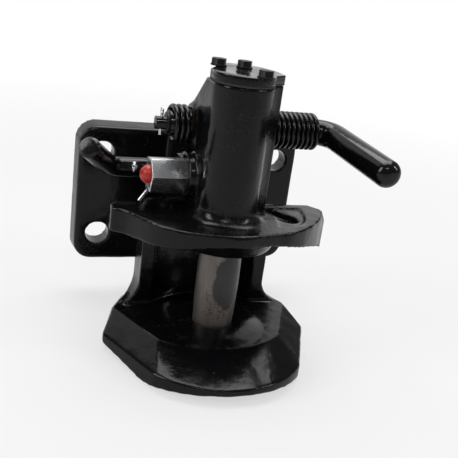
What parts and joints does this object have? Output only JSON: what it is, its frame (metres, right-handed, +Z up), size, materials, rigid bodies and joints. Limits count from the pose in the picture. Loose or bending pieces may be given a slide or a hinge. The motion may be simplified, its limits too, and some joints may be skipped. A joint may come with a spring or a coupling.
{
  "type": "flange pin hitch",
  "caption": "Flange-mounted automatic pin hitch with open mouth, crowned coupling pin, hand lever, trip lever and control indicator.",
  "frame": {"origin": "centre of the flange hole pattern on its rear face", "axes": "+Y towards the vehicle, +Z up, +X to the right seen from the mouth"},
  "size_m": [0.169, 0.1548, 0.174],
  "materials": {
    "black_cast": "gloss black paint on rough cast iron",
    "black_bar": "gloss black paint on smooth bar",
    "worn_steel": "bare steel, worn and greasy",
    "bright_zinc": "bright zinc plating",
    "spring_black": "black painted spring wire",
    "red_cap": "red moulded plastic",
    "bronze": "plain bearing bronze",
    "dark_steel": "oiled dark steel",
    "gasket_paper": "dark gasket sheet"
  },
  "bodies": {
    "root": {"hitch_body": "black_cast", "top_cover": "black_cast", "cover_gasket": "gasket_paper", "cover_bolts": "dark_steel", "upper_guide_bush": "bronze", "lower_seat_bush": "dark_steel", "lower_bush_circlip": "dark_steel", "shaft_bush_left": "bronze", "shaft_bush_right": "bronze", "torsion_spring_right": "spring_black", "torsion_spring_left": "spring_black", "trip_bush": "bronze", "trip_spring": "dark_steel", "indicator_housing": "bright_zinc", "indicator_spring": "dark_steel", "rear_cover": "black_cast", "rear_cover_screws": "dark_steel"},
    "lever": {"hand_lever": "black_bar", "lift_arm": "dark_steel", "lift_arm_roll_pin": "dark_steel", "shaft_washer": "dark_steel", "shaft_split_pin": "bright_zinc"},
    "pin": {"coupling_pin": "worn_steel"},
    "trip": {"trip_lever": "black_bar", "trip_pawl": "dark_steel", "trip_pawl_pin": "dark_steel", "trip_split_pin": "bright_zinc"},
    "indicator": {"indicator_rod": "dark_steel", "indicator_cap": "red_cap", "indicator_circlip": "dark_steel"}
  },
  "joints": [
    {"name": "hand_lever_turn", "type": "hinge", "parent": "root", "child": "lever", "pos_m": [0, -0.062, 0.06], "axis": [-1, 0, 0], "range_deg": [0, 86.24], "stiffness_Nm_per_rad": 3, "springref_deg": -20.05},
    {"name": "pin_lift", "type": "slide", "parent": "root", "child": "pin", "axis": [0, 0, 1], "range_m": [0, 0.0541]},
    {"name": "trip_turn", "type": "hinge", "parent": "root", "child": "trip", "pos_m": [0, -0.057, 0.031], "axis": [1, 0, 0], "range_deg": [0, 12], "stiffness_Nm_per_rad": 1, "springref_deg": -9.74},
    {"name": "indicator_slide", "type": "slide", "parent": "root", "child": "indicator", "axis": [1, 0, 0], "range_m": [0, 0.00325]}
  ],
  "couplings": [
    {"joint": "pin_lift", "follows": "hand_lever_turn", "m_per_rad": 0.035876},
    {"joint": "indicator_slide", "follows": "trip_turn", "m_per_rad": 0.015279}
  ]
}
